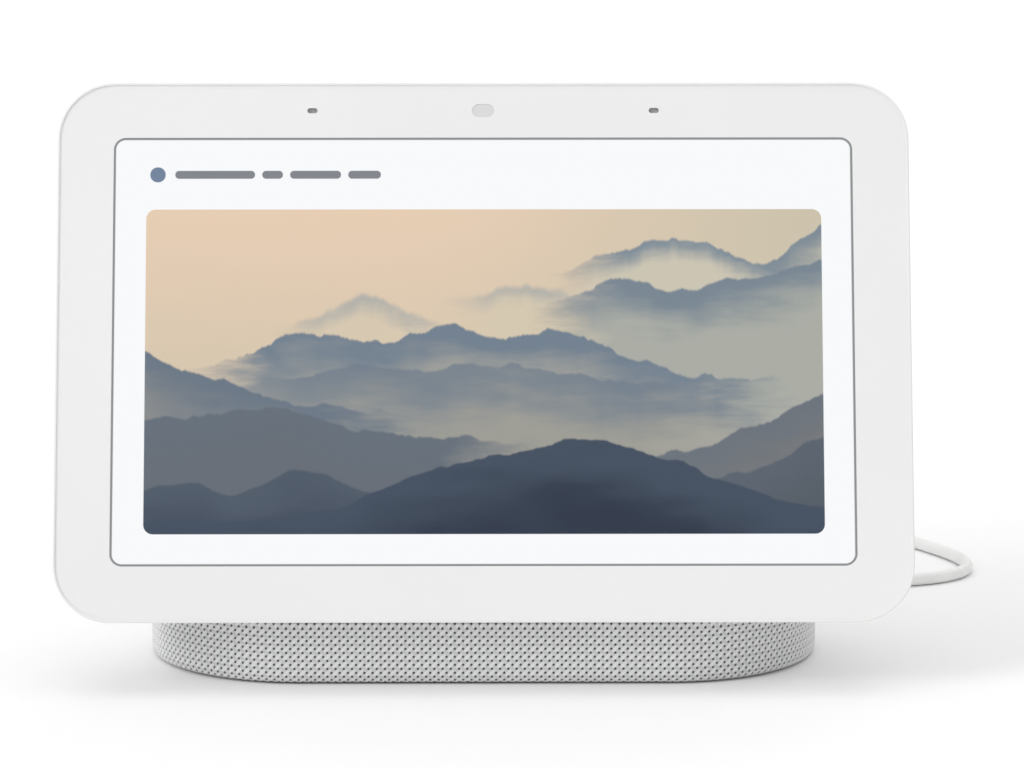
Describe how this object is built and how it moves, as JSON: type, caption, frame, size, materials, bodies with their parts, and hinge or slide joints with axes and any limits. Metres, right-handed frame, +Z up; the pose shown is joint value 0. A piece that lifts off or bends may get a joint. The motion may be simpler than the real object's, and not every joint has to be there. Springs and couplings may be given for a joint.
{
  "type": "smart display",
  "caption": "Tabletop smart display: a tilted touch screen on a fabric-covered speaker base, with a volume rocker, a microphone mute slider and a wall-adapter lead.",
  "frame": {"origin": "on the table, below the middle of the display and base taken together (without the lead)", "axes": "+X to the right seen from the front, the screen faces -Y, +Z up"},
  "size_m": [0.1983, 0.144, 0.1204],
  "materials": {
    "cover_glass": "polished clear glass with an anti-glare feel",
    "white_print": "white print seen through the glass",
    "white_housing": "fine satin moulded plastic",
    "grey_control": "satin moulded plastic",
    "screen_picture": "lit liquid-crystal picture",
    "diffuser": "milky light-spreading plastic",
    "plated_steel": "plated sheet",
    "black_plastic": "fine satin moulded plastic",
    "circuit_board": "solder mask",
    "flex_film": "amber film with copper traces",
    "aluminium_plate": "rolled sheet",
    "knit_fabric": "knitted mesh of light grey and pale yarn",
    "grey_plastic": "moulded plastic",
    "foot_rubber": "matt silicone",
    "surround_rubber": "matt rubber",
    "magnet_steel": "black passivated steel",
    "copper_winding": "enamelled copper wire",
    "cone_paper": "pressed fibre",
    "wire_insulation": "smooth wire sleeve",
    "cord_jacket": "smooth satin jacket",
    "tie_strap": "woven hook-and-loop strap",
    "adapter_shell": "fine satin moulded plastic"
  },
  "bodies": {
    "display": {"cover_glass": "cover_glass", "border_mask": "white_print", "rear_housing": "white_housing", "lcd_panel": "screen_picture", "backlight_guide": "diffuser", "sensor_lens": "diffuser", "lcd_tray": "plated_steel", "board_shield": "plated_steel", "neck_plate": "plated_steel", "neck_screw_1": "plated_steel", "neck_screw_2": "plated_steel", "neck_screw_3": "plated_steel", "neck_screw_4": "plated_steel", "bottom_screw_1": "plated_steel", "bottom_screw_2": "plated_steel", "bottom_screw_3": "plated_steel", "bottom_screw_4": "plated_steel", "speaker_basket": "plated_steel", "plug_barrel": "plated_steel", "adapter_blade_left": "plated_steel", "adapter_blade_right": "plated_steel", "mid_frame": "black_plastic", "volume_switch_up": "black_plastic", "volume_switch_down": "black_plastic", "mute_switch": "black_plastic", "dc_jack": "black_plastic", "main_board": "circuit_board", "sensor_board": "circuit_board", "microphone_board_left": "circuit_board", "microphone_board_right": "circuit_board", "volume_board": "circuit_board", "jack_board": "circuit_board", "adapter_board": "circuit_board", "display_flex": "flex_film", "sensor_flex": "flex_film", "heat_spreader": "aluminium_plate", "base_fabric": "knit_fabric", "base_enclosure": "grey_plastic", "base_bottom_plate": "grey_plastic", "rubber_foot": "foot_rubber", "speaker_surround": "surround_rubber", "speaker_magnet": "magnet_steel", "adapter_transformer": "copper_winding", "speaker_gasket": "cone_paper", "speaker_lead": "wire_insulation", "power_harness": "wire_insulation", "power_cord": "cord_jacket", "cord_coil": "cord_jacket", "adapter_cord": "cord_jacket", "plug_grip": "cord_jacket", "plug_strain_relief": "cord_jacket", "adapter_strain_relief": "cord_jacket", "coil_tie": "tie_strap", "adapter_body": "adapter_shell", "adapter_cap": "adapter_shell"},
    "volume_rocker": {"volume_rocker": "white_housing"},
    "mute_slider": {"mute_slider": "grey_control"},
    "speaker_cone": {"speaker_cone": "cone_paper", "voice_coil": "copper_winding"}
  },
  "joints": [
    {"name": "volume_rock", "type": "hinge", "parent": "display", "child": "volume_rocker", "pos_m": [0.08, 0.00252, 0.08608], "axis": [1, 0, 0], "range_deg": [-2.5, 2.5], "stiffness_Nm_per_rad": 0.3},
    {"name": "mute_slide", "type": "slide", "parent": "display", "child": "mute_slider", "axis": [1, 0, 0], "range_m": [0, 0.0024]},
    {"name": "cone_travel", "type": "slide", "parent": "display", "child": "speaker_cone", "axis": [0, 1, 0], "range_m": [-0.002, 0.002], "stiffness_N_per_m": 1000, "deforming": ["speaker_surround"]}
  ]
}
